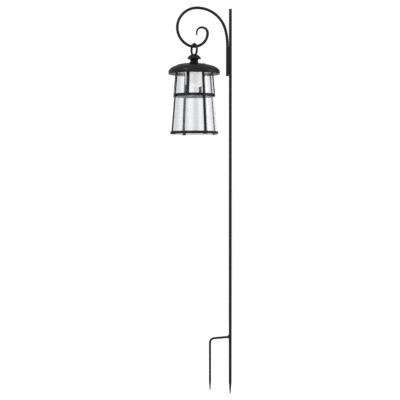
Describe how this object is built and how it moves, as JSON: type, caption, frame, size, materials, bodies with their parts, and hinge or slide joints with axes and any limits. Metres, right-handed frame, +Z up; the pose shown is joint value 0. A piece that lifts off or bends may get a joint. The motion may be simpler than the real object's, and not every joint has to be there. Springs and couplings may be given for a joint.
{
  "type": "solar garden light",
  "caption": "Solar lantern with a clear conical shade and caged dome roof, hung by a ring from a scrolled steel ground hook with a step prong.",
  "frame": {"origin": "on the pole's axis at the soil line, 174 mm above the stake's tip", "axes": "+Z up along the pole; the hook and lantern reach out along -X; -Y is the front"},
  "size_m": [0.2005, 0.1628, 1.2272],
  "materials": {
    "black_paint": "gloss black powder coat",
    "zinc_steel": "bright zinc plate",
    "black_plastic": "fine matt grain",
    "pale_plastic": "satin off-white",
    "solar_face": "blue-black cells under clear resin",
    "lead_jacket": "smooth vinyl",
    "clear_glass": "clear, polished",
    "seal": "translucent silicone",
    "frosted_cream": "frosted cream, translucent",
    "green_board": "solder mask",
    "lamp_lens": "clear warm lens",
    "battery_wrap": "printed shrink sleeve, no text"
  },
  "bodies": {
    "stand": {"pole_upper": "black_paint", "pole_middle": "black_paint", "pole_stake": "black_paint", "pole_stud_upper": "zinc_steel", "pole_stud_lower": "zinc_steel", "crook_hook": "black_paint", "hook_weld_front": "black_paint", "hook_weld_rear": "black_paint", "step_prong": "black_paint", "prong_weld": "black_paint"},
    "hanging_ring": {"hanging_ring": "black_paint"},
    "lantern": {"base_plate": "pale_plastic", "base_screw_1": "zinc_steel", "base_screw_2": "zinc_steel", "base_screw_3": "zinc_steel", "base_screw_4": "zinc_steel", "battery": "battery_wrap", "battery_contact": "zinc_steel", "battery_cover": "pale_plastic", "battery_cover_screw": "zinc_steel", "battery_cradle": "black_plastic", "battery_spring": "zinc_steel", "bottom_ring": "black_paint", "cage_collar": "black_paint", "circuit_board": "green_board", "diffuser_dome": "frosted_cream", "finial": "black_paint", "finial_nut": "zinc_steel", "finial_stud": "zinc_steel", "finial_washer": "zinc_steel", "foot_seal": "seal", "glass_gasket": "seal", "glass_shade": "clear_glass", "led_lamp": "lamp_lens", "light_housing": "black_plastic", "middle_band": "black_paint", "mullion_1": "black_paint", "mullion_2": "black_paint", "mullion_3": "black_paint", "mullion_4": "black_paint", "post_1": "black_paint", "post_2": "black_paint", "post_3": "black_paint", "post_4": "black_paint", "roof_cap": "black_paint", "solar_bezel_1": "black_plastic", "solar_bezel_2": "black_plastic", "solar_bezel_3": "black_plastic", "solar_bezel_4": "black_plastic", "solar_cell_1": "solar_face", "solar_cell_2": "solar_face", "solar_cell_3": "solar_face", "solar_cell_4": "solar_face", "solar_lead_1": "lead_jacket", "solar_lead_2": "lead_jacket", "solar_lead_3": "lead_jacket", "solar_lead_4": "lead_jacket", "switch_body": "zinc_steel"},
    "power_switch": {"switch_slider": "black_plastic"}
  },
  "joints": [
    {"name": "ring_swing", "type": "hinge", "parent": "stand", "child": "hanging_ring", "pos_m": [-0.1144, 0, 0.92714], "axis": [1, 0, 0], "range_deg": [-45, 45]},
    {"name": "lantern_swing", "type": "hinge", "parent": "hanging_ring", "child": "lantern", "pos_m": [-0.1144, 0, 0.89819], "axis": [0.4617, -0.887, 0], "range_deg": [-35, 8]},
    {"name": "power_slide", "type": "slide", "parent": "lantern", "child": "power_switch", "axis": [0.4617, -0.887, 0], "range_m": [0, 0.003]}
  ]
}
